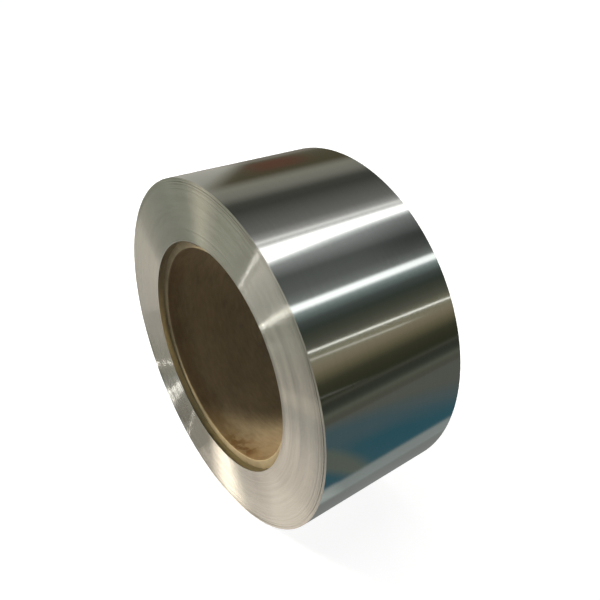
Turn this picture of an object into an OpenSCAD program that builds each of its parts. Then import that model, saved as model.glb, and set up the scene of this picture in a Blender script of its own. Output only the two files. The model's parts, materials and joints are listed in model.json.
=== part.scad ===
// Coil of nickel-iron alloy strip wound on a paper-fibre core.
// The coil lies on its rim: its axis runs along Y at the height of the rim's radius,
// and the origin is on the floor under the middle of the coil.

/* [Strip] */
// Width of the strip, which is the coil's length along its axis
strip_w = 106; // [30:1:200]
// Thickness of the strip
strip_t = 0.4; // [0.2:0.05:0.8]
// Turns of strip wound on the core
turns = 102; // [20:1:150]

/* [Core] */
// Bore of the core tube
core_bore_d = 150; // [70:1:300]
// Wall of the core tube
core_wall = 6; // [3:0.5:15]
// How far each end of the core lies inside the end of the coil
core_recess = 5; // [1:0.5:12]

/* [Winding] */
// How far the turns of a narrow group lie inside the widest turns
edge_drift = 0.3; // [0:0.05:1]
// How far every second turn lies inside its neighbours
turn_step = 0.06; // [0.02:0.01:0.2]
// Angle from one turn to the next along the wave of narrow groups
drift_rate = 11; // [5:1:20]
// Direction of the strip's free end seen from the axis, from +X up past +Z and down the back
tail_angle = 195; // [95:1:265]

/* [Hidden] */
$fn = 96;

coil_bore_r = core_bore_d / 2 + core_wall;
// Turns under the outer two, which are one piece so that the last can end in a step
inner_turns = turns - 2;
// Radius of the coil just past the strip's free end
lap_r = coil_bore_r + (turns - 1) * strip_t;
// The outer turns lie inside their neighbours' edges by this much, and bite into them below
lap_inset = edge_drift + 2 * turn_step;
lap_bite = strip_t / 2;
// The last turn swells over its upper half only, so the axis stands lap_r above the floor
axis_z = lap_r;
core_len = strip_w - 2 * core_recess;
cut = 1;

// Radius at which turn i begins
function turn_r(i) = coil_bore_r + i * strip_t;

// How far the edge of turn i lies inside the coil's end plane
function inset(i, phase) =
    edge_drift * max(0, sin(drift_rate * i + phase)) + (i % 2) * turn_step;

// Both ends of turn i's edge, at one end of the coil
function edge_points(i, phase) =
    let (z = strip_w / 2 - inset(i, phase)) [[turn_r(i), z], [turn_r(i + 1), z]];

function upper_end() = [for (i = [0 : inner_turns - 1]) each edge_points(i, 0)];
function lower_end() =
    [for (i = [inner_turns - 1 : -1 : 0]) for (p = [1, 0])
        let (e = edge_points(i, 150)[p]) [e[0], -e[1]]];

// Lays a shape turned about Z along Y, at the height of the coil's axis
module lie_down() {
    translate([0, 0, axis_z]) rotate([90, 0, 0]) children();
}

// Every turn but the outer two, turned as one solid
module wound_turns() {
    rotate_extrude() polygon(concat(upper_end(), lower_end()));
}

// Half of a disc, on the side of the X axis that side (1 or -1) gives
module half_disc(r, offset_x, length, side) {
    intersection() {
        translate([offset_x, 0, 0]) cylinder(r = r, h = length, center = true);
        translate([-2 * r, side > 0 ? 0 : -2 * r, -length]) cube([4 * r, 2 * r, 2 * length]);
    }
}

// The outer turns: two arcs about two centres, so that the strip ends in a step of its thickness
module outer_turns() {
    length = strip_w - 2 * lap_inset;
    difference() {
        rotate([0, 0, tail_angle]) union() {
            half_disc(lap_r, 0, length, 1);
            half_disc(lap_r + strip_t / 2, strip_t / 2, length, -1);
        }
        cylinder(r = turn_r(inner_turns) - lap_bite, h = length + cut, center = true);
    }
}

module strip_coil() {
    color("silver") lie_down() union() {
        wound_turns();
        outer_turns();
    }
}

module core_tube() {
    color("peru") lie_down() difference() {
        cylinder(r = coil_bore_r, h = core_len, center = true);
        cylinder(d = core_bore_d, h = core_len + cut, center = true);
    }
}

strip_coil();
core_tube();
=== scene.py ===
"""Looks of a coil of bright nickel-iron strip that lies on its rim, with its paper core.

The winding is drawn turn by turn as one spiral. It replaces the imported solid, from whose boxes
and mount every size here is worked out. Metres, +Z up, the coil's axis along Y. Angles round the
axis run from +X up past +Z. The near end of the coil is the one that faces -Y.
"""

import json
import math

import bmesh
import bpy
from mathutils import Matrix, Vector, noise


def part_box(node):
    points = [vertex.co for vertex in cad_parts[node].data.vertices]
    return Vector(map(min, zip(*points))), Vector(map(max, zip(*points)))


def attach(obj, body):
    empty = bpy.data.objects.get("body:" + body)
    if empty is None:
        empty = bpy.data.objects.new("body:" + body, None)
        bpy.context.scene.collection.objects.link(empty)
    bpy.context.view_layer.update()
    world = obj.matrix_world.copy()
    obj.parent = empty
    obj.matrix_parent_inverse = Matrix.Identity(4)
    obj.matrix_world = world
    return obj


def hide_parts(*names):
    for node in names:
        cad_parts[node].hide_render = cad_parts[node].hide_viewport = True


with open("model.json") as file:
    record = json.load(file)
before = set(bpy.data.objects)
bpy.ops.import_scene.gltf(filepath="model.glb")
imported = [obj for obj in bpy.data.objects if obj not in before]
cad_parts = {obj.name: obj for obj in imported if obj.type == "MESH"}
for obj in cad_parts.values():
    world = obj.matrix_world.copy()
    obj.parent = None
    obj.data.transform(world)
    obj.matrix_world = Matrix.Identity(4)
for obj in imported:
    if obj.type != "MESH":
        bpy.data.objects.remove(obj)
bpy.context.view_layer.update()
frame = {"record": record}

# ---- Sizes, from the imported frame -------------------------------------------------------
CORE_LOW, CORE_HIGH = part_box("core_tube")
BORE = next(m for m in frame["record"]["mounts"] if m["name"] == "core_bore")
AXIS_Z = BORE["pos_m"][2]
HALF_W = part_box("strip_coil")[1].y
CORE_HALF = CORE_HIGH.y
CORE_BORE_R = BORE["dims"]["r_mm"] / 1000
CORE_R = (CORE_HIGH.x - CORE_LOW.x) / 2
LAP_R = AXIS_Z                      # radius of the winding just past the strip's free end
NOMINAL_T = 0.0004                  # the strip's thickness, before the turns come out whole
TURNS = round((LAP_R - CORE_R) / NOMINAL_T)
STRIP_T = (LAP_R - CORE_R) / TURNS
TAIL_ANGLE = math.radians(195)      # where the strip ends
COLUMNS = 192                       # steps round one turn
LAST_TURN = (TURNS - 1) * COLUMNS   # the column where the outer turn begins
RIM_ROWS = 24                       # rows of faces across the rim
SHARP_ANGLE = 40                    # degrees between faces from which an edge is drawn sharp

# ---- Camera ------------------------------------------------------------------------------
VIEW_AZIMUTH = math.radians(53.2)
VIEW_ELEVATION = math.radians(30.06)
VIEW_DISTANCE = 0.4439
AIM = Vector((0.0003, 0.0200, AXIS_Z + 0.0203))
LENS = 37.23                        # millimetres
CLIP_START, CLIP_END = 0.01, 60
LEVEL_SHARE = math.cos(VIEW_ELEVATION)

# Unit vector from the coil towards the camera
VIEW_BACK = Vector((
    math.sin(VIEW_AZIMUTH) * LEVEL_SHARE,
    -math.cos(VIEW_AZIMUTH) * LEVEL_SHARE,
    math.sin(VIEW_ELEVATION),
))
CAMERA_AT = AIM + VIEW_BACK * VIEW_DISTANCE


def add_to_scene(name, data):
    thing = bpy.data.objects.new(name, data)
    bpy.context.scene.collection.objects.link(thing)
    return thing


def look_along(thing, direction):
    """Turns a camera or lamp so that it looks in a direction."""
    thing.rotation_mode = "QUATERNION"
    thing.rotation_quaternion = direction.to_track_quat("-Z", "Y")


def make_camera():
    data = bpy.data.cameras.new("camera")
    data.lens = LENS
    data.clip_start, data.clip_end = CLIP_START, CLIP_END
    camera = add_to_scene("camera", data)
    camera.location = CAMERA_AT
    look_along(camera, -VIEW_BACK)
    bpy.context.scene.camera = camera


# ---- Winding -----------------------------------------------------------------------------
# How far turns' edges lie inside the coil's end plane: in groups, each by itself, and in slow waves
GROUP_INSET, OWN_INSET, SLOW_INSET = 0.00012, 0.00004, 0.000025
GROUP_STEP = 11                     # degrees of the groups' wave from one turn to the next
FAR_GROUP_SHIFT = 150               # degrees by which that wave is shifted at the far end
OWN_STEPS = (2.7, 11.3)             # steps through the noise: from turn to turn, from end to end
SLOW_STEPS = (0.11, 7)              # the same for the slow waves
SLOW_RING = 0.6                     # radius of one turn's way round in the slow waves' noise

# Turns that sit deeper than their neighbours: which turn, and how deep
SUNK_TURNS = [(TURNS - 5, 0.0005), (TURNS - 9, 0.0002), (TURNS - 16, 0.00015), (20, 0.00015)]
SUNK_REACH = 1.3                    # turns over which such a place rises again

# One strip edge across its thickness: share of the thickness, and depth below its crown
EDGE_PROFILE = [(0.0, 0.00013), (0.20, 0.00004), (0.38, 0.00001), (0.76, 0.000005), (0.93, 0.00004)]
BORDER_DEPTH = EDGE_PROFILE[0][1]


def swell(past):
    """How many strip thicknesses a turn has risen, at an angle past the one where the strip ends."""
    if past <= math.pi:
        return 0.0
    arc_r, offset = LAP_R + STRIP_T / 2, STRIP_T / 2
    rise = offset * math.cos(past) + math.sqrt(arc_r**2 - (offset * math.sin(past)) ** 2)
    return (rise - LAP_R) / STRIP_T


def ring(radius, angle, y):
    """A point at a radius and angle about the coil's axis."""
    return (radius * math.cos(angle), y, AXIS_Z + radius * math.sin(angle))


def edge_inset(turn, angle, side):
    """How far an edge lies inside the end plane; turn counts on smoothly round the spiral."""
    wave = GROUP_STEP * turn + (0 if side < 0 else FAR_GROUP_SHIFT)
    group = max(0.0, math.sin(math.radians(wave)))
    own = noise.noise(Vector((OWN_STEPS[0] * turn, OWN_STEPS[1] * side, 0.0)))
    around = (SLOW_RING * math.cos(angle), SLOW_RING * math.sin(angle))
    slow = noise.noise(Vector((*around, SLOW_STEPS[0] * turn + SLOW_STEPS[1] * side)))
    sunk = sum(depth * max(0.0, 1 - abs(turn - at) / SUNK_REACH) for at, depth in SUNK_TURNS)
    return GROUP_INSET * group + OWN_INSET * (1 + own) + SLOW_INSET * (1 + slow) + sunk


def border_y(column, angle, side):
    """How far along the axis the border of a strip edge lies, at a column of the spiral."""
    return side * (HALF_W - edge_inset(column / COLUMNS, angle, side) - BORDER_DEPTH)


def outer_border(side):
    """The outer turn's border at one end: radius, angle and place along the axis at each step."""
    places = []
    for step in range(COLUMNS + 1):
        past = 2 * math.pi * step / COLUMNS
        angle = TAIL_ANGLE + past
        places.append((LAP_R + STRIP_T * swell(past), angle, border_y(LAST_TURN + step, angle, side)))
    return places


def new_object(name, verts, faces, sharp_angle=None):
    mesh = bpy.data.meshes.new(name)
    mesh.from_pydata(verts, [], faces)
    mesh.validate()
    mesh.polygons.foreach_set("use_smooth", [True] * len(mesh.polygons))
    if sharp_angle:
        mesh.set_sharp_from_angle(angle=math.radians(sharp_angle))
    mesh.update()
    return add_to_scene(name, mesh)


def outward(piece):
    """Turns every face of a closed shell to face outwards."""
    bm = bmesh.new()
    bm.from_mesh(piece.data)
    bmesh.ops.recalc_face_normals(bm, faces=bm.faces)
    bm.to_mesh(piece.data)
    bm.free()


def spiral_verts(side):
    """Points of the wound edges, column by column from the core out, and then the outer border."""
    verts = []
    for column in range(TURNS * COLUMNS + 1):
        turn, step = divmod(column, COLUMNS)
        if column == TURNS * COLUMNS:
            turn, step = TURNS - 1, COLUMNS
        past = 2 * math.pi * step / COLUMNS
        angle = TAIL_ANGLE + past
        start = CORE_R + STRIP_T * (turn + swell(past))
        inset = edge_inset(column / COLUMNS, angle, side)
        for index, (share, depth) in enumerate(EDGE_PROFILE):
            radius = start + STRIP_T * share
            if turn == 0 and index == 0:
                radius = CORE_R
            verts.append(ring(radius, angle, side * (HALF_W - inset - depth)))
    return verts + [ring(*place) for place in outer_border(side)]


def spiral_faces():
    """Faces along each turn's edge, and the one that leads on to the next turn or the outer border."""
    points = len(EDGE_PROFILE)
    border = (TURNS * COLUMNS + 1) * points
    faces = []
    for column in range(TURNS * COLUMNS):
        here, there = column * points, (column + 1) * points
        for point in range(points - 1):
            a, b = here + point, there + point
            faces.append((a, b, b + 1, a + 1))
        above, above_there = here + COLUMNS * points, there + COLUMNS * points
        if column >= LAST_TURN:
            above = border + column - LAST_TURN
            above_there = above + 1
        faces.append((here + points - 1, there + points - 1, above_there, above))
    return faces


def make_coil_end(name, side):
    """The wound edges of one end, as a single spiral from the core to the free end."""
    faces = spiral_faces()
    if side > 0:
        faces = [f[::-1] for f in faces]
    return new_object(name, spiral_verts(side), faces, SHARP_ANGLE)


def make_rim():
    """The outer turn's face, with the step where the strip ends."""
    verts, faces = [], []
    for (radius, angle, near), (_, _, far) in zip(outer_border(-1), outer_border(1)):
        for row in range(RIM_ROWS + 1):
            verts.append(ring(radius, angle, near + (far - near) * row / RIM_ROWS))
    for step in range(COLUMNS):
        for row in range(RIM_ROWS):
            a = step * (RIM_ROWS + 1) + row
            faces.append((a, a + 1, a + RIM_ROWS + 2, a + RIM_ROWS + 1))
    last = COLUMNS * (RIM_ROWS + 1)
    for row in range(RIM_ROWS):
        faces.append((row, last + row, last + row + 1, row + 1))
    return new_object("coil_rim", verts, faces, SHARP_ANGLE)


def make_coil_bore():
    """The inner turn's face, which shows past each end of the core."""
    verts, faces = [], []
    for step in range(COLUMNS):
        angle = TAIL_ANGLE + 2 * math.pi * step / COLUMNS
        near, far = border_y(step, angle, -1), border_y(step, angle, 1)
        lines = (near, -CORE_HALF, CORE_HALF, far)
        verts += [ring(CORE_R, angle, y) for y in lines]
    count = len(lines)
    for step in range(COLUMNS):
        for row in range(count - 1):
            a = step * count + row
            b = (step + 1) % COLUMNS * count + row
            faces.append((a, b, b + 1, a + 1))
    return new_object("coil_bore", verts, faces)


CORE_EASE = 0.0007   # how far the edges of the core's bore are eased
CORE_GAP = 0.00002   # between the core and the first turn, so that their faces do not coincide
CORE_ROWS = 12       # rows of faces along the core's bore


def core_section():
    """The core's turned section: distance from the axis and place along it, all the way round."""
    eased = CORE_HALF - CORE_EASE
    section = [(CORE_R - CORE_GAP, -CORE_HALF)]
    section += [(CORE_BORE_R + CORE_EASE, -CORE_HALF), (CORE_BORE_R, -CORE_HALF + CORE_EASE)]
    section += [(CORE_BORE_R, eased * (2 * i / CORE_ROWS - 1)) for i in range(1, CORE_ROWS)]
    section += [(CORE_BORE_R, eased), (CORE_BORE_R + CORE_EASE, CORE_HALF)]
    section += [(CORE_R - CORE_GAP, CORE_HALF)]
    return section


def make_core():
    """The core tube, its section turned round the axis."""
    section = core_section()
    count = len(section)
    verts, faces = [], []
    for step in range(COLUMNS):
        verts += [ring(radius, 2 * math.pi * step / COLUMNS, y) for radius, y in section]
        here, there = step * count, (step + 1) % COLUMNS * count
        for point in range(count):
            after = (point + 1) % count
            faces.append((here + point, here + after, there + after, there + point))
    piece = new_object("core_paper_tube", verts, faces, SHARP_ANGLE)
    outward(piece)
    return piece


# ---- Nodes -------------------------------------------------------------------------------
class Nodes:
    """Adds nodes to the tree of a material or world, and links them. Colours go without alpha."""

    def __init__(self, owner, output="ShaderNodeOutputMaterial"):
        owner.use_nodes = True
        self.owner = owner
        self.tree = owner.node_tree
        self.tree.nodes.clear()
        self.out = self.tree.nodes.new(output)

    def add(self, kind, **inputs):
        node = self.tree.nodes.new(kind)
        for key, value in inputs.items():
            self.set(node, key, value)
        return node

    def set(self, node, key, value):
        socket = node.inputs[key]
        if isinstance(value, bpy.types.NodeSocket):
            self.tree.links.new(value, socket)
        elif socket.type == "RGBA":
            socket.default_value = (*value, 1)
        else:
            socket.default_value = value

    def surface(self, shader):
        """Makes a shader the material's, or the world's, surface."""
        self.tree.links.new(shader.outputs[0], self.out.inputs["Surface"])

    def math(self, operation, a, b=0.0, c=None, clamp=False):
        node = self.tree.nodes.new("ShaderNodeMath")
        node.operation, node.use_clamp = operation, clamp
        self.set(node, 0, a)
        self.set(node, 1, b)
        if c is not None:
            self.set(node, 2, c)
        return node.outputs[0]

    def length(self, x, y):
        squares = [self.math("MULTIPLY", side, side) for side in (x, y)]
        return self.math("SQRT", self.math("ADD", *squares))

    def window(self, value, middle, reach, top=1.0):
        """A share, at most 1, that falls from top at the middle by one for each reach away from it."""
        away = self.math("ABSOLUTE", self.math("SUBTRACT", value, middle))
        return self.math("SUBTRACT", top, self.math("DIVIDE", away, reach), clamp=True)

    def mix(self, share, a, b, blend="MIX"):
        node = self.tree.nodes.new("ShaderNodeMix")
        node.data_type, node.blend_type = "RGBA", blend
        self.set(node, "Factor", share)
        self.set(node, 6, a)
        self.set(node, 7, b)
        return node.outputs[2]

    def ramp(self, value, stops, low=0.0, high=1.0):
        """The colour at a value, between stops that lie from low to high."""
        share = value
        if (low, high) != (0.0, 1.0):
            share = self.math("DIVIDE", self.math("SUBTRACT", value, low), high - low)
        node = self.add("ShaderNodeValToRGB", Fac=share)
        ramp = node.color_ramp
        while len(ramp.elements) < len(stops):
            ramp.elements.new(1.0)
        for element, (at, colour) in zip(ramp.elements, stops):
            element.position = (at - low) / (high - low)
            element.color = (*colour, 1)
        return node.outputs["Color"]

    def noise(self, vector, scale, detail=2.0, roughness=0.5):
        node = self.add("ShaderNodeTexNoise", Scale=scale, Detail=detail, Roughness=roughness)
        self.set(node, "Vector", vector)
        return node.outputs["Fac"]

    def bump(self, height, strength, distance):
        node = self.add("ShaderNodeBump", Height=height, Strength=strength, Distance=distance)
        return node.outputs[0]

    def place(self):
        """A point's place on its piece."""
        return self.add("ShaderNodeTexCoord").outputs["Object"]

    def split(self, vector):
        node = self.add("ShaderNodeSeparateXYZ", Vector=vector)
        return [node.outputs[axis] for axis in "XYZ"]

    def combine(self, *parts):
        node = self.add("ShaderNodeCombineXYZ")
        for index, part in enumerate(parts):
            self.set(node, index, part)
        return node.outputs[0]

    def vector(self, operation, a, b):
        node = self.add("ShaderNodeVectorMath")
        node.operation = operation
        self.set(node, 0, a)
        self.set(node, 1, b)
        return node


def new_material(name):
    return Nodes(bpy.data.materials.new(name))


def about_axis(nodes):
    """Sockets: a point's distance from the coil's axis, and its offsets from the axis's middle."""
    x, y, height = nodes.split(nodes.place())
    z = nodes.math("SUBTRACT", height, AXIS_Z)
    return nodes.length(x, z), (x, y, z)


def stretched(nodes, place, across, along):
    """The place with its own scale along the axis, for marks that run round the coil."""
    return nodes.vector("MULTIPLY", place, (across, along, across)).outputs[0]


# ---- Metal -------------------------------------------------------------------------------
ROLLING = (5, 900)    # scales of the rolling lines: round the coil, and along its axis

# Painted reflection, laid into the slit edges' colour: paler and darker bands of turns beside the bore,
# by the share of the way out from it. The levels follow the brightness measured across the
# photographed coil's end, set against a render's.
REFLECTION_BANDS = [
    (0.0, 0.85), (0.05, 1.0), (0.10, 1.22), (0.15, 1.19), (0.23, 1.04), (0.27, 1.07), (0.33, 1.20),
    (0.37, 1.18), (0.45, 1.0), (0.51, 1.02), (0.60, 1.10), (0.66, 1.14), (0.72, 1.08), (0.79, 0.98),
    (0.86, 0.94), (0.91, 0.87), (1.0, 0.84),
]
REFLECTION_BANDS_AT, REFLECTION_BANDS_REACH = 12, 25  # where they are round the axis, and how fast they fade, in degrees
REFLECTION_BANDS_TOP = 1.6                   # above 1, so that they are whole for a way on both sides
TURN_TONES = (5, 0.7)               # scales of the turns' tones: round the coil, and from turn to turn


def brushed(nodes, anisotropy):
    """A metal shader whose reflections spread across the rolling and slitting lines."""
    tangent = nodes.add("ShaderNodeTangent")
    tangent.direction_type, tangent.axis = "RADIAL", "Y"
    shader = nodes.add("ShaderNodeBsdfPrincipled")
    shader.inputs["Metallic"].default_value = 1.0
    shader.inputs["Anisotropic"].default_value = anisotropy
    shader.inputs["Anisotropic Rotation"].default_value = 0.25
    nodes.set(shader, "Tangent", tangent.outputs[0])
    nodes.surface(shader)
    return shader


def strip_face_material():
    """Bright rolled strip: fine rolling lines run round the coil."""
    nodes = new_material("rolled_strip")
    shader = brushed(nodes, 0.7)
    place = nodes.place()
    lines = nodes.noise(stretched(nodes, place, *ROLLING), 1.0, 3)
    clouds = nodes.noise(place, 14, 3)
    nodes.set(shader, "Base Color", nodes.mix(lines, (0.60, 0.60, 0.575), (0.66, 0.66, 0.635)))
    nodes.set(shader, "Roughness", nodes.math("MULTIPLY_ADD", lines, 0.03, 0.085))
    relief = nodes.math("ADD", lines, nodes.math("MULTIPLY", clouds, 0.5))
    nodes.set(shader, "Normal", nodes.bump(relief, 0.03, 0.0002))
    return nodes.owner


def strip_edge_material():
    """Slit edges: rougher and warmer than the strip's faces, each turn its own tone, with painted
    reflection bands by the bore.
    """
    nodes = new_material("slit_edges")
    shader = brushed(nodes, 1.0)
    radius, (x, _, z) = about_axis(nodes)
    turn = nodes.math("DIVIDE", radius, STRIP_T)
    around = [nodes.math("MULTIPLY", side, TURN_TONES[0]) for side in (x, z)]
    spot = nodes.combine(around[0], nodes.math("MULTIPLY", turn, TURN_TONES[1]), around[1])
    tone = nodes.noise(spot, 1.0, 3)
    colour = nodes.mix(tone, (0.58, 0.565, 0.52), (0.70, 0.685, 0.635))
    # Painted reflection: paler and darker bands of turns, strongest near +X and fading round the axis.
    outward_share = nodes.math("DIVIDE", nodes.math("SUBTRACT", radius, CORE_R), LAP_R - CORE_R)
    painted_bands = nodes.ramp(outward_share, [(share, (level,) * 3) for share, level in REFLECTION_BANDS])
    angle = nodes.math("ARCTAN2", z, x)
    beside = nodes.window(angle, math.radians(REFLECTION_BANDS_AT), math.radians(REFLECTION_BANDS_REACH), REFLECTION_BANDS_TOP)
    nodes.set(shader, "Base Color", nodes.mix(beside, colour, painted_bands, "MULTIPLY"))
    nodes.set(shader, "Roughness", nodes.math("MULTIPLY_ADD", tone, 0.05, 0.15))
    return nodes.owner


def inner_turn_material():
    """The first turn's inner face where it shows past the core: rougher, with painted shade for the recess.
    """
    nodes = new_material("inner_turn")
    shader = nodes.add("ShaderNodeBsdfPrincipled", Metallic=1.0, Roughness=0.32)
    nodes.surface(shader)
    lines = nodes.noise(stretched(nodes, nodes.place(), *ROLLING), 1.0, 3)
    # Painted shade: darker and more olive than the strip, for the shade in the recess and the brown core it
    # mirrors.
    nodes.set(shader, "Base Color", nodes.mix(lines, (0.40, 0.38, 0.28), (0.50, 0.48, 0.37)))
    return nodes.owner


# ---- Core --------------------------------------------------------------------------------
FIBRES = (120, 420)   # scales of the paper's fibres: round the core, and along its axis
END_BAND = 0.018       # how far in from its ends the core's bore is darker and warmer
END_DEPTH = 0.0003    # how far in from its ends the core shows its cut section
BARE_PAPER = [(0.3, (0.145, 0.106, 0.058)), (0.55, (0.225, 0.171, 0.099)), (0.8, (0.305, 0.244, 0.147))]
CUT_PAPER = [(0.3, (0.22, 0.168, 0.09)), (0.55, (0.34, 0.265, 0.148)), (0.8, (0.44, 0.352, 0.207))]

# Painted shade on the cut section across the wall, from the bore out, darker at its outer edge; and tints
# of the bore, darker and warmer beside its ends, from its ends in
CUT_SHADE_TINTS = [(0.25, (1, 1, 1)), (1.0, (0.72, 0.70, 0.66))]
END_BAND_TINTS = [(0.25, (0.68, 0.60, 0.48)), (1.0, (1, 1, 1))]

# Painted shadow on a stretch of the cut section: direction from the axis in degrees, reach and tint
PAINTED_SHADOW_SIDE = (243, 0.022, (0.50, 0.53, 0.55))

# Marks on the bore's floor by its near end: direction, depth, reach, patchiness and tint
CORE_MARKS = [
    (276, 0.004, 0.014, 8.0, (0.60, 0.49, 0.35)), (287, 0.005, 0.011, 8.0, (0.62, 0.50, 0.36)),
    (297, 0.013, 0.026, 1.5, (1.0, 0.82, 0.66)),
]
# How strong a mark is at its middle, the scale of its patches, and the noise above which they lie
MARK_TOP, PATCH_SCALE, PATCH_FROM = 1.2, 190, 0.46


def marked(nodes, place, middle, reach, patchy, plain=0.3):
    """How strongly a mark round a spot shows: it fades outwards and breaks up into patches."""
    away = nodes.vector("DISTANCE", place, middle).outputs["Value"]
    near = nodes.math("SUBTRACT", MARK_TOP, nodes.math("DIVIDE", away, reach), clamp=True)
    patches = nodes.math("SUBTRACT", nodes.noise(place, PATCH_SCALE, 4, 0.6), PATCH_FROM)
    patches = nodes.math("MULTIPLY_ADD", patches, patchy, plain, clamp=True)
    return nodes.math("MULTIPLY", near, patches)


def cut_section(nodes, place, radius, tone):
    """Colour of the core's cut ends, with painted shade towards their outer edge and a painted shadow on
    one stretch.
    """
    across = nodes.math("DIVIDE", nodes.math("SUBTRACT", radius, CORE_BORE_R), CORE_R - CORE_BORE_R)
    # Painted shade: the cut section darkens towards its outer edge, by the recess's wall.
    colour = nodes.mix(1.0, nodes.ramp(tone, CUT_PAPER), nodes.ramp(across, CUT_SHADE_TINTS), "MULTIPLY")
    # Painted shadow over one stretch of the cut section.
    degrees, reach, tint = PAINTED_SHADOW_SIDE
    middle = ring(CORE_R, math.radians(degrees), -CORE_HALF)
    side_shadow = marked(nodes, place, middle, reach, 0.0, 1.0)
    return nodes.mix(side_shadow, colour, tint, "MULTIPLY")


def core_inside(nodes, place, from_end, tone):
    """Colour of the core's bore, darker and warmer beside its ends and marked on its floor."""
    wobble = nodes.math("MULTIPLY_ADD", nodes.noise(place, 75, 3), END_BAND, -END_BAND / 2)
    inwards = nodes.math("DIVIDE", nodes.math("ADD", from_end, wobble), END_BAND)
    bare = nodes.ramp(tone, BARE_PAPER)
    colour = nodes.mix(1.0, bare, nodes.ramp(inwards, END_BAND_TINTS), "MULTIPLY")
    for degrees, depth, reach, patchy, tint in CORE_MARKS:
        middle = ring(CORE_BORE_R, math.radians(degrees), -CORE_HALF + depth)
        share = marked(nodes, place, middle, reach, patchy)
        colour = nodes.mix(share, colour, tint, "MULTIPLY")
    return colour


def core_material():
    """Wound paper fibre: fibres and scuffs, paler on the cut ends."""
    nodes = new_material("core_paper")
    shader = nodes.add("ShaderNodeBsdfPrincipled", Roughness=0.7)
    nodes.surface(shader)
    place = nodes.place()
    radius, (_, y, _) = about_axis(nodes)
    fibres = nodes.noise(stretched(nodes, place, *FIBRES), 1.0, 6, 0.6)
    halves = [nodes.math("MULTIPLY", part, 0.5) for part in (fibres, nodes.noise(place, 30, 4))]
    tone = nodes.math("ADD", *halves)
    from_end = nodes.math("SUBTRACT", CORE_HALF, nodes.math("ABSOLUTE", y))
    on_end = nodes.math("LESS_THAN", from_end, END_DEPTH)
    inside = core_inside(nodes, place, from_end, tone)
    cut = cut_section(nodes, place, radius, tone)
    nodes.set(shader, "Base Color", nodes.mix(on_end, inside, cut))
    nodes.set(shader, "Normal", nodes.bump(tone, 0.25, 0.0003))
    return nodes.owner


# ---- Studio: what the metal mirrors ------------------------------------------------------
FLOOR_CLEAR = 0.001   # lowest place of a card's foot
STEEP = 0.2           # level part of a direction below which a card is set no further off
ACROSS = (-0.2, 1.2)  # shares of the rim's width for cards that show on all of it


def only_in_reflections(piece):
    """A card that metal mirrors, but that neither shows nor lights anything."""
    piece.visible_camera = False
    piece.visible_diffuse = False
    piece.visible_shadow = False
    piece.visible_transmission = False
    piece.visible_volume_scatter = False


def mirrored(place, normal):
    """Direction in which the camera sees the room at a polished spot."""
    out = (CAMERA_AT - place).normalized()
    return 2 * normal.dot(out) * normal - out


def lit_point(place, direction, reach):
    """Where a card in that direction stands: at its reach, measured level unless the way is steep."""
    level = math.hypot(direction.x, direction.y)
    spot = place + direction * (reach / max(level, STEEP))
    spot.z = max(spot.z, FLOOR_CLEAR)
    return spot


def fade_out(piece, nodes, glow, cover):
    """Gives a card its glow; cover, a number for each corner of its mesh, says how solid it is."""
    values = piece.data.attributes.new("cover", "FLOAT", "POINT")
    values.data.foreach_set("value", cover)
    share = nodes.add("ShaderNodeAttribute")
    share.attribute_name = "cover"
    both = nodes.add("ShaderNodeMixShader")
    nodes.set(both, 0, share.outputs["Fac"])
    nodes.set(both, 1, nodes.add("ShaderNodeBsdfTransparent").outputs[0])
    nodes.set(both, 2, glow.outputs[0])
    nodes.surface(both)
    piece.data.materials.append(nodes.owner)
    only_in_reflections(piece)


def plain_card(name, verts, faces, colour, strength, cover):
    piece = new_object(name, verts, faces)
    nodes = new_material(name)
    glow = nodes.add("ShaderNodeEmission", Color=colour, Strength=strength)
    fade_out(piece, nodes, glow, cover)


def solid_share(index, count, fade):
    """How solid a card is at one of its rows: clear at its edge, and whole from a share fade in."""
    if not fade:
        return 1.0
    return min(1.0, min(index, count - 1 - index) / (count - 1) / fade)


def card(name, sights, colour, strength, reach, fades):
    """A card through a grid of sights; each sight is a spot and the normal there."""
    rows, width = len(sights), len(sights[0])
    verts = [lit_point(spot, mirrored(spot, normal), reach) for row in sights for spot, normal in row]
    faces, cover = [], []
    for row in range(rows):
        solid = solid_share(row, rows, fades[0])
        cover += [solid * solid_share(place, width, fades[1]) for place in range(width)]
    for row in range(rows - 1):
        for place in range(width - 1):
            a = row * width + place
            faces.append((a, a + 1, a + width + 1, a + width))
    plain_card(name, verts, faces, colour, strength, cover)


def spread(start, stop, count):
    return [start + (stop - start) * i / (count - 1) for i in range(count)]


def rim_sight(degrees, share):
    """A spot on the rim; share runs from the near edge, 0, to the far edge, 1."""
    angle = math.radians(degrees)
    normal = Vector((math.cos(angle), 0, math.sin(angle)))
    return Vector((0, HALF_W * (2 * share - 1), AXIS_Z)) + normal * LAP_R, normal


def face_sight(degrees, tilt):
    """A spot halfway out on the near end, its normal tilted outward by tilt degrees."""
    angle, lean = math.radians(degrees), math.radians(tilt)
    out = Vector((math.cos(angle), 0, math.sin(angle)))
    normal = Vector((0, -math.cos(lean), 0)) + out * math.sin(lean)
    return Vector((0, -HALF_W, AXIS_Z)) + out * (LAP_R + CORE_R) / 2, normal


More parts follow.
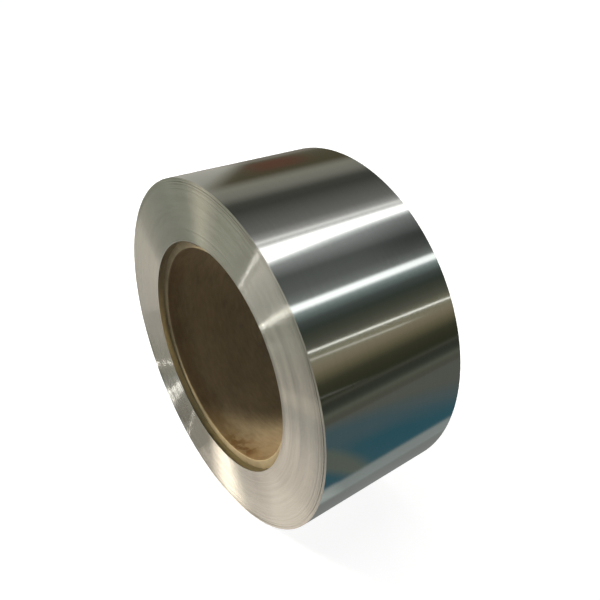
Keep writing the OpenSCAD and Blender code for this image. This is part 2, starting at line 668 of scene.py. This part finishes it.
# Cards that the rim mirrors: name, degrees from and to, colour, strength, shares of the rim's
# width, degrees by which they lean from one edge to the other, and how much of them fades
RIM_CARDS = [
    ("line_light", 30.85, 31.2, (1, 1, 0.95), 1.9, ACROSS, -1.5, 0.0),
    ("faint_line_light", 29.0, 29.35, (1, 0.98, 0.86), 0.8, (-0.2, 0.65), -2.0, 0.0),
    ("upper_seam", 19.2, 19.6, (1, 1, 0.9), 0.16, ACROSS, -3.2, 0.0),
    ("lower_seam", 15.2, 15.6, (1, 1, 0.9), 0.19, ACROSS, -1.6, 0.0),
    ("pale_board_behind", 81, 121, (1, 0.985, 0.87), 0.43, (-0.5, 0.49), 40, 0.2),
    ("red_cloth_behind", 87, 100, (0.125, 0.062, 0.042), 1.0, (0.3, 0.82), 0, 0.3),
]
RIM_CARD_REACH = 1.2
FADED_ROWS, PLAIN_ROWS = 12, 4      # rows of sights in a card, round the rim
RIM_SIGHTS = 12                     # sights in each row, across the rim

# Cards that the near end mirrors: name, degrees from and to, tilts, colour, strength, reach and
# how much of them fades. The screens keep a tube light on one side from showing on the other.
FACE_CARDS = [
    ("low_window", 259.3, 290.6, (-44, -31.5), (1.0, 0.90, 0.75), 6.1, 1.2, 0.42),
    ("upper_glow", 88, 93, (8, 40), (1.0, 0.96, 0.80), 0.85, 0.150, 0.0),
    ("upper_glow_side", 85, 95.5, (8, 40), (1.0, 0.97, 0.82), 0.68, 0.153, 0.0),
    ("upper_glow_rim", 81.5, 98.5, (8, 40), (1.0, 0.98, 0.85), 0.5, 0.156, 0.0),
    ("front_tube_a", 59.4, 60.2, (14, 50), (1, 1, 0.98), 3.2, 0.2, 0.0),
    ("side_tube_a", 211.5, 212.4, (-57, -40), (1, 0.98, 0.92), 15.0, 1.0, 0.0),
    ("side_tube_b", 223.4, 228.8, (-57, -31), (1, 1, 0.96), 3.1, 3.0, 0.0),
    ("side_tube_b_core", 223.4, 224.4, (-57, -31), (1, 1, 0.98), 7.0, 2.8, 0.0),
    ("front_glow", 43.5, 59, (20, 36), (1, 0.98, 0.93), 0.83, 0.25, 0.0),
    ("tube_a_screen", 18, 41, (29, 66), (0.12, 0.125, 0.105), 1.0, 0.25, 0.0),
    ("tube_b_screen", 43.6, 49.5, (29, 66), (0.20, 0.205, 0.18), 1.0, 0.25, 0.0),
    ("side_tube_c", 241.9, 242.5, (-57, -36), (1, 0.98, 0.92), 7.0, 3.0, 0.0),
]
FADED_LINES, PLAIN_LINES = 24, 8    # rows of sights in a card, round the near end
FACE_TILTS = 12                     # sights in each row, one for each tilt

# A board ahead and to the left, which hides the window from all but the coil's foot
BOARD_Y = -0.24
BOARD = [(-0.45, 0.14), (-0.06, 0.14), (-0.06, 0.34), (-0.45, 0.34)]
BOARD_COLOUR = (0.36, 0.37, 0.31)


def make_cards():
    """Tube lights, window, glows and boards, each set where the metal mirrors it."""
    for name, start, stop, colour, strength, shares, lean, fade in RIM_CARDS:
        rows = FADED_ROWS if fade else PLAIN_ROWS
        sights = [[rim_sight(degrees + lean * share, share) for share in spread(*shares, RIM_SIGHTS)]
                  for degrees in spread(start, stop, rows)]
        card(name, sights, colour, strength, RIM_CARD_REACH, (fade, fade))
    for name, start, stop, tilts, colour, strength, reach, fade in FACE_CARDS:
        rows = FADED_LINES if fade else PLAIN_LINES
        sights = [[face_sight(degrees, tilt) for tilt in spread(*tilts, FACE_TILTS)]
                  for degrees in spread(start, stop, rows)]
        card(name, sights, colour, strength, reach, (fade, 0.0))
    verts = [(x, BOARD_Y, z) for x, z in BOARD]
    plain_card("board_ahead", verts, [tuple(range(len(verts)))], BOARD_COLOUR, 1.0, [1.0] * len(verts))


# ---- Studio: the room overhead -----------------------------------------------------------
# Tones of what hangs or stands round the coil, by degrees round its axis. ROOM_LOW is read below
# ROOM_SPLIT and ROOM_HIGH above it. The two bright bands are tube lights that run along the axis.
# The tones were worked back from colours measured on the photographed coil's rim.
LOW_START, ROOM_SPLIT, LOW_END, HIGH_END = -40, 33, 40, 180
ROOM_LOW = [
    (-40, (0.12, 0.125, 0.105)), (-32, (0.113, 0.115, 0.092)), (-29.5, (0.16, 0.18, 0.155)),
    (-27, (0.095, 0.097, 0.075)), (-23, (0.095, 0.097, 0.077)), (-20.5, (0.13, 0.14, 0.11)),
    (-18, (0.062, 0.068, 0.052)), (-16, (0.041, 0.047, 0.037)), (-12.8, (0.040, 0.044, 0.033)),
    (-11, (0.085, 0.09, 0.07)), (-9.5, (0.034, 0.036, 0.022)), (-5, (0.043, 0.045, 0.026)),
    (-1, (0.05, 0.05, 0.03)), (1, (0.076, 0.074, 0.045)), (3.5, (0.127, 0.115, 0.067)),
    (6, (0.17, 0.155, 0.097)), (9, (0.24, 0.205, 0.135)), (13, (0.275, 0.25, 0.175)),
    (18, (0.245, 0.24, 0.17)), (20.5, (0.155, 0.155, 0.11)), (23, (0.11, 0.11, 0.09)),
    (28, (0.067, 0.075, 0.054)), (33, (0.045, 0.055, 0.046)),
]
ROOM_HIGH = [
    (33, (0.045, 0.055, 0.046)),
    (38, (0.075, 0.09, 0.085)), (42, (0.19, 0.24, 0.23)), (44.6, (0.35, 0.42, 0.42)),
    (45.8, (1.7, 1.8, 1.8)), (48.8, (1.7, 1.8, 1.8)), (49.9, (0.25, 0.27, 0.26)),
    (57, (0.14, 0.15, 0.145)), (67, (0.105, 0.115, 0.11)), (72, (0.22, 0.23, 0.23)),
    (78, (0.35, 0.37, 0.37)), (81.5, (0.9, 0.95, 0.95)), (83, (2.2, 2.2, 2.2)),
    (89, (2.2, 2.2, 2.2)), (90.2, (0.62, 0.62, 0.61)), (91.6, (0.62, 0.62, 0.61)),
    (92.8, (1.3, 1.3, 1.28)), (94.6, (0.42, 0.42, 0.41)), (100, (0.19, 0.19, 0.185)),
    (120, (0.06, 0.062, 0.055)), (126, (0.07, 0.07, 0.062)),
    (133.5, (0.23, 0.23, 0.20)), (142.5, (0.28, 0.275, 0.23)), (151, (0.085, 0.076, 0.045)),
    (170, (0.10, 0.092, 0.06)), (180, (0.13, 0.125, 0.09)),
]
ROOM_R, ROOM_RINGS, ROOM_COLUMNS = 40.0, 24, 96
ROOM_SPAN = math.radians(130)       # from straight up to the dome's lower edge

# The big tube's lower edge: its angle, how far round it the shift reaches, the place along the
# axis (in dome radii) where it is true, and the degrees of shift for each dome radius from there
FLARE_AT, FLARE_REACH, FLARE_FROM, FLARE_SLOPE = 80, 10, 0.586, 40

# The shade below the big tube: its angle and reach, the place along the axis where it starts, how
# fast it deepens from there, and its deepest share
SHADE_AT, SHADE_REACH, SHADE_FROM, SHADE_SLOPE, SHADE_MOST = 64, 20, 0.62, 12, 0.55


def dome():
    """A dome's points and faces, ring by ring from its top."""
    verts = [(0, 0, ROOM_R)]
    for row in range(1, ROOM_RINGS + 1):
        polar = ROOM_SPAN * row / ROOM_RINGS
        level = ROOM_R * math.sin(polar)
        for column in range(ROOM_COLUMNS):
            turned = 2 * math.pi * column / ROOM_COLUMNS
            verts.append((level * math.cos(turned), level * math.sin(turned), ROOM_R * math.cos(polar)))
    columns = [(column, (column + 1) % ROOM_COLUMNS) for column in range(ROOM_COLUMNS)]
    faces = [(0, 1 + here, 1 + after) for here, after in columns]
    for row in range(ROOM_RINGS - 1):
        a, b = 1 + row * ROOM_COLUMNS, 1 + (row + 1) * ROOM_COLUMNS
        faces += [(a + here, b + here, b + after, a + after) for here, after in columns]
    return verts, faces


def tube_flare(nodes, angle, along):
    """Shift, in degrees, that widens the big tube's lower edge towards the coil's near end."""
    past = nodes.math("SUBTRACT", along, FLARE_FROM)
    share = nodes.window(angle, FLARE_AT, FLARE_REACH)
    return nodes.math("MULTIPLY", nodes.math("MULTIPLY", past, share), FLARE_SLOPE)


def far_shade(nodes, angle, along):
    """How much darker the room is below the big tube towards the coil's far end."""
    far = nodes.math("MULTIPLY", nodes.math("SUBTRACT", along, SHADE_FROM), SHADE_SLOPE)
    far = nodes.math("MINIMUM", nodes.math("MAXIMUM", far, 0.0), SHADE_MOST)
    return nodes.math("MULTIPLY", far, nodes.window(angle, SHADE_AT, SHADE_REACH))


def make_room():
    """A dome round the coil whose tone changes almost only with the angle about the axis."""
    room = new_object("studio_room", *dome())
    room.location = (0, 0, AXIS_Z)
    nodes = new_material("studio_room")
    x, y, z = nodes.split(nodes.place())
    along = nodes.math("DIVIDE", y, ROOM_R)
    angle = nodes.math("MULTIPLY", nodes.math("ARCTAN2", z, x), 180 / math.pi)
    angle = nodes.math("SUBTRACT", angle, tube_flare(nodes, angle, along))
    low = nodes.ramp(angle, ROOM_LOW, LOW_START, LOW_END)
    high = nodes.ramp(angle, ROOM_HIGH, 0, HIGH_END)
    colour = nodes.mix(nodes.math("GREATER_THAN", angle, ROOM_SPLIT), low, high)
    strength = nodes.math("SUBTRACT", 1.0, far_shade(nodes, angle, along))
    nodes.surface(nodes.add("ShaderNodeEmission", Color=colour, Strength=strength))
    room.data.materials.append(nodes.owner)
    only_in_reflections(room)


# ---- Studio: the bench -------------------------------------------------------------------
BENCH_Z = 0.0004
BENCH_FAR = 40.0
BENCH_SIDE = 1.2      # coil radii out from the axis, where the bench ends beside the coil
BENCH_SPOT = (0.03, -0.09)

# The bench's tone by metres from that spot, just ahead of the coil's near end. This and the levels
# below were changed until the end came near the tones measured on the photographed coil.
BENCH = [
    (0, (0.75, 0.695, 0.62)), (0.05, (0.79, 0.71, 0.635)), (0.09, (0.69, 0.63, 0.56)),
    (0.12, (0.57, 0.52, 0.46)), (0.22, (0.47, 0.44, 0.39)), (0.32, (0.61, 0.585, 0.54)),
    (0.37, (0.58, 0.56, 0.51)), (0.43, (0.50, 0.51, 0.43)), (0.56, (0.40, 0.44, 0.36)),
    (0.9, (0.36, 0.40, 0.325)),
]
# How much brighter or darker the mirrored bench glows, by the direction from that spot, in degrees from -X
# towards -Y
GLOW_LEVEL_START, GLOW_LEVEL_END = -2, 58
BENCH_GLOW_LEVELS = [
    (-2, 1.2), (0, 0.78), (3, 0.74), (5, 0.95), (7, 0.96), (9, 0.82), (12, 0.72), (16, 0.74),
    (22, 0.80), (25, 0.95), (27, 1.4), (29.5, 1.6), (32, 1.45), (36, 1.38), (42, 1.32), (50, 1.12),
    (58, 1.0),
]


def oblong(x0, x1, y0, y1):
    return [(x0, y0), (x1, y0), (x1, y1), (x0, y1)]


# Mats and shaded stretches of the bench: name, corners in coil radii, out from the axis and on
# from the near end, height, colour, and the width of the band over which the edge fades
MATS = [
    ("bench_beside", oblong(1.2, 3.4, 0, 40), 0.0008, (0.115, 0.125, 0.105), 0.02),
    ("blue_mat", [(1.0, -2), (3.5, -2), (3.2, 1.45), (1.85, 2.0), (1.0, 2.0)],
     0.0012, (0.056, 0.116, 0.138), 0.7),
    ("deep_blue_mat", [(1.0, -2), (1.9, -2), (1.9, 1.3), (1.0, 2.2)],
     0.0013, (0.014, 0.102, 0.142), 0.5),
    ("olive_mat", [(1.0, 0.74), (1.25, 0.6), (2.2, 0.47), (2.2, 0.86)],
     0.0014, (0.125, 0.15, 0.12), 0.10),
    ("pale_mat", oblong(0.3, 1.19, 0, 3), 0.0016, (0.31, 0.355, 0.345), 0.07),
    ("pale_mat_near", oblong(0.97, 1.17, -1, 0.45), 0.0018, (0.50, 0.56, 0.54), 0.16),
    ("foot_shade", oblong(0.3, 0.95, 0, 3), 0.0020, (0.245, 0.26, 0.25), 0.05),
    ("shaded_bench", oblong(-2.3, -0.95, -0.7, 0), 0.0012, (0.06, 0.055, 0.045), 0.02),
    ("half_shaded_bench", oblong(-0.95, -0.68, -0.6, 0), 0.0012, (0.17, 0.155, 0.13), 0.02),
    ("less_shaded_bench", oblong(-0.68, -0.40, -0.6, 0), 0.0012, (0.46, 0.425, 0.365), 0.02),
    ("back_bench", oblong(-300, -1.2, 0, 300), 0.0014, (0.22, 0.20, 0.16), 0.02),
]


def moved_in(corners, by):
    """A counter-clockwise outline's corners, with each side moved inwards by the same distance."""
    moved = []
    for index, corner in enumerate(corners):
        before, here = Vector(corners[index - 1]), Vector(corner)
        after = Vector(corners[(index + 1) % len(corners)])
        side, next_side = (here - before).normalized(), (after - here).normalized()
        inward, next_inward = Vector((-side.y, side.x)), Vector((-next_side.y, next_side.x))
        moved.append(here + (inward + next_inward) * by / (1 + inward.dot(next_inward)))
    return moved


def worn(colour):
    """The plainer, greyer tone that a mat has in patches."""
    return tuple(0.6 * part + 0.055 for part in colour)


def make_mat(name, corners, z, colour, fade):
    """A mat with a whole middle and a band round it over which it fades."""
    count = len(corners)
    outlines = moved_in(corners, fade / 2) + moved_in(corners, -fade / 2)
    verts = [(corner.x * LAP_R, corner.y * LAP_R - HALF_W, z) for corner in outlines]
    faces = [tuple(range(count))]
    for here in range(count):
        after = (here + 1) % count
        faces.append((here, here + count, after + count, after))
    piece = new_object(name, verts, faces)
    nodes = new_material(name)
    tone = nodes.mix(nodes.noise(nodes.place(), 9.0), colour, worn(colour))
    glow = nodes.add("ShaderNodeEmission", Color=tone, Strength=1.0)
    fade_out(piece, nodes, glow, [1.0] * count + [0.0] * count)


def make_bench():
    """The bench as the metal mirrors it: pale by the coil, darker and greener out in front."""
    side, near, z = BENCH_SIDE * LAP_R, -HALF_W, BENCH_Z
    verts = [(-BENCH_FAR, -BENCH_FAR, z), (side, -BENCH_FAR, z), (side, BENCH_FAR, z)]
    verts += [(-BENCH_FAR, BENCH_FAR, z), (BENCH_FAR, -BENCH_FAR, z), (BENCH_FAR, near, z), (side, near, z)]
    bench = new_object("bench_mirrored", verts, [(0, 1, 2, 3), (1, 4, 5, 6)])
    nodes = new_material("bench_mirrored")
    x, y, _ = nodes.split(nodes.place())
    x = nodes.math("SUBTRACT", x, BENCH_SPOT[0])
    y = nodes.math("SUBTRACT", y, BENCH_SPOT[1])
    direction = nodes.math("ARCTAN2", nodes.math("MULTIPLY", y, -1), nodes.math("MULTIPLY", x, -1))
    direction = nodes.math("MULTIPLY", direction, 180 / math.pi)
    glow_levels = [(degrees, (level,) * 3) for degrees, level in BENCH_GLOW_LEVELS]
    level = nodes.ramp(direction, glow_levels, GLOW_LEVEL_START, GLOW_LEVEL_END)
    tone = nodes.ramp(nodes.length(x, y), BENCH)
    nodes.surface(nodes.add("ShaderNodeEmission", Color=tone, Strength=level))
    bench.data.materials.append(nodes.owner)
    only_in_reflections(bench)


# ---- Studio: floor, world and lamps ------------------------------------------------------
FLOOR_SIZE = 12.0     # from its middle to its edge
FLOOR_GREY = (0.42, 0.42, 0.42)
FLOOR_GLOW = 0.90     # what the floor adds where it is seen, so that it comes out near white
SUN_ANGLE = math.radians(50)
SOFT_LIGHT = (0.86, 1.0, 0.78)
SOFT_STRENGTH = 0.037


def seen(nodes):
    """1 for what the camera, metal or glass sees, and 0 for the light that falls on things."""
    path = nodes.add("ShaderNodeLightPath").outputs
    mirrored_or_through = nodes.math("MAXIMUM", path["Is Glossy Ray"], path["Is Transmission Ray"])
    return nodes.math("MAXIMUM", path["Is Camera Ray"], mirrored_or_through)


def make_floor():
    """A pale floor under the coil; the metal mirrors the bench in its place."""
    corners = oblong(-FLOOR_SIZE, FLOOR_SIZE, -FLOOR_SIZE, FLOOR_SIZE)
    floor = new_object("floor", [(x, y, 0) for x, y in corners], [(0, 1, 2, 3)])
    nodes = new_material("pale_floor")
    both = nodes.add("ShaderNodeAddShader")
    nodes.set(both, 0, nodes.add("ShaderNodeBsdfDiffuse", Color=FLOOR_GREY).outputs[0])
    strength = nodes.math("MULTIPLY", seen(nodes), FLOOR_GLOW)
    nodes.set(both, 1, nodes.add("ShaderNodeEmission", Strength=strength).outputs[0])
    nodes.surface(both)
    floor.data.materials.append(nodes.owner)
    floor.visible_glossy = False


def make_world():
    """White where the camera sees it, and plain soft light elsewhere; the room hides it from metal."""
    bpy.context.scene.world = bpy.data.worlds.new("studio")
    nodes = Nodes(bpy.context.scene.world, "ShaderNodeOutputWorld")
    soft = nodes.add("ShaderNodeBackground", Color=SOFT_LIGHT, Strength=SOFT_STRENGTH)
    white = nodes.add("ShaderNodeBackground", Color=(1, 1, 1), Strength=1.0)
    both = nodes.add("ShaderNodeMixShader")
    nodes.set(both, 0, seen(nodes))
    nodes.set(both, 1, soft.outputs[0])
    nodes.set(both, 2, white.outputs[0])
    nodes.surface(both)


def add_lamp(name, kind, power, colour, direction):
    """A lamp that metal does not mirror; returns the lamp and its data."""
    data = bpy.data.lights.new(name, kind)
    data.energy, data.color = power, colour
    lamp = add_to_scene(name, data)
    look_along(lamp, direction)
    lamp.visible_glossy = False
    return lamp, data


def area_lamp(name, place, size, watts, colour):
    """A square lamp aimed at the middle of the coil."""
    lamp, data = add_lamp(name, "AREA", watts, colour, Vector((0, 0, AXIS_Z)) - Vector(place))
    data.shape, data.size, data.size_y = "RECTANGLE", size, size
    lamp.location = place
    lamp.visible_camera = False


def make_lamps():
    """Even light from above, a low key from the left, and a weak one close behind the bore."""
    _, sun = add_lamp("overhead", "SUN", 1.0, (1, 1, 1), Vector((0.1, 0.15, -1)))
    sun.angle = SUN_ANGLE
    area_lamp("key", (-0.98, -0.61, AXIS_Z + 0.38), 0.3, 33, (1, 0.97, 0.9))
    area_lamp("behind", (0, 0.14, AXIS_Z), 0.08, 0.045, (1, 1, 0.88))


# ---- Build -------------------------------------------------------------------------------
def keep(piece, material, node):
    piece.data.materials.append(material)
    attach(piece, "root")
    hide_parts(node)


make_camera()
rolled, edges, paper = strip_face_material(), strip_edge_material(), core_material()
keep(make_coil_end("coil_end_near", -1), edges, "strip_coil")
keep(make_coil_end("coil_end_far", 1), edges, "strip_coil")
keep(make_rim(), rolled, "strip_coil")
keep(make_coil_bore(), inner_turn_material(), "strip_coil")
keep(make_core(), paper, "core_tube")
make_room()
make_cards()
make_bench()
for mat in MATS:
    make_mat(*mat)
make_floor()
make_world()
make_lamps()
bpy.context.scene.view_settings.view_transform = "Standard"
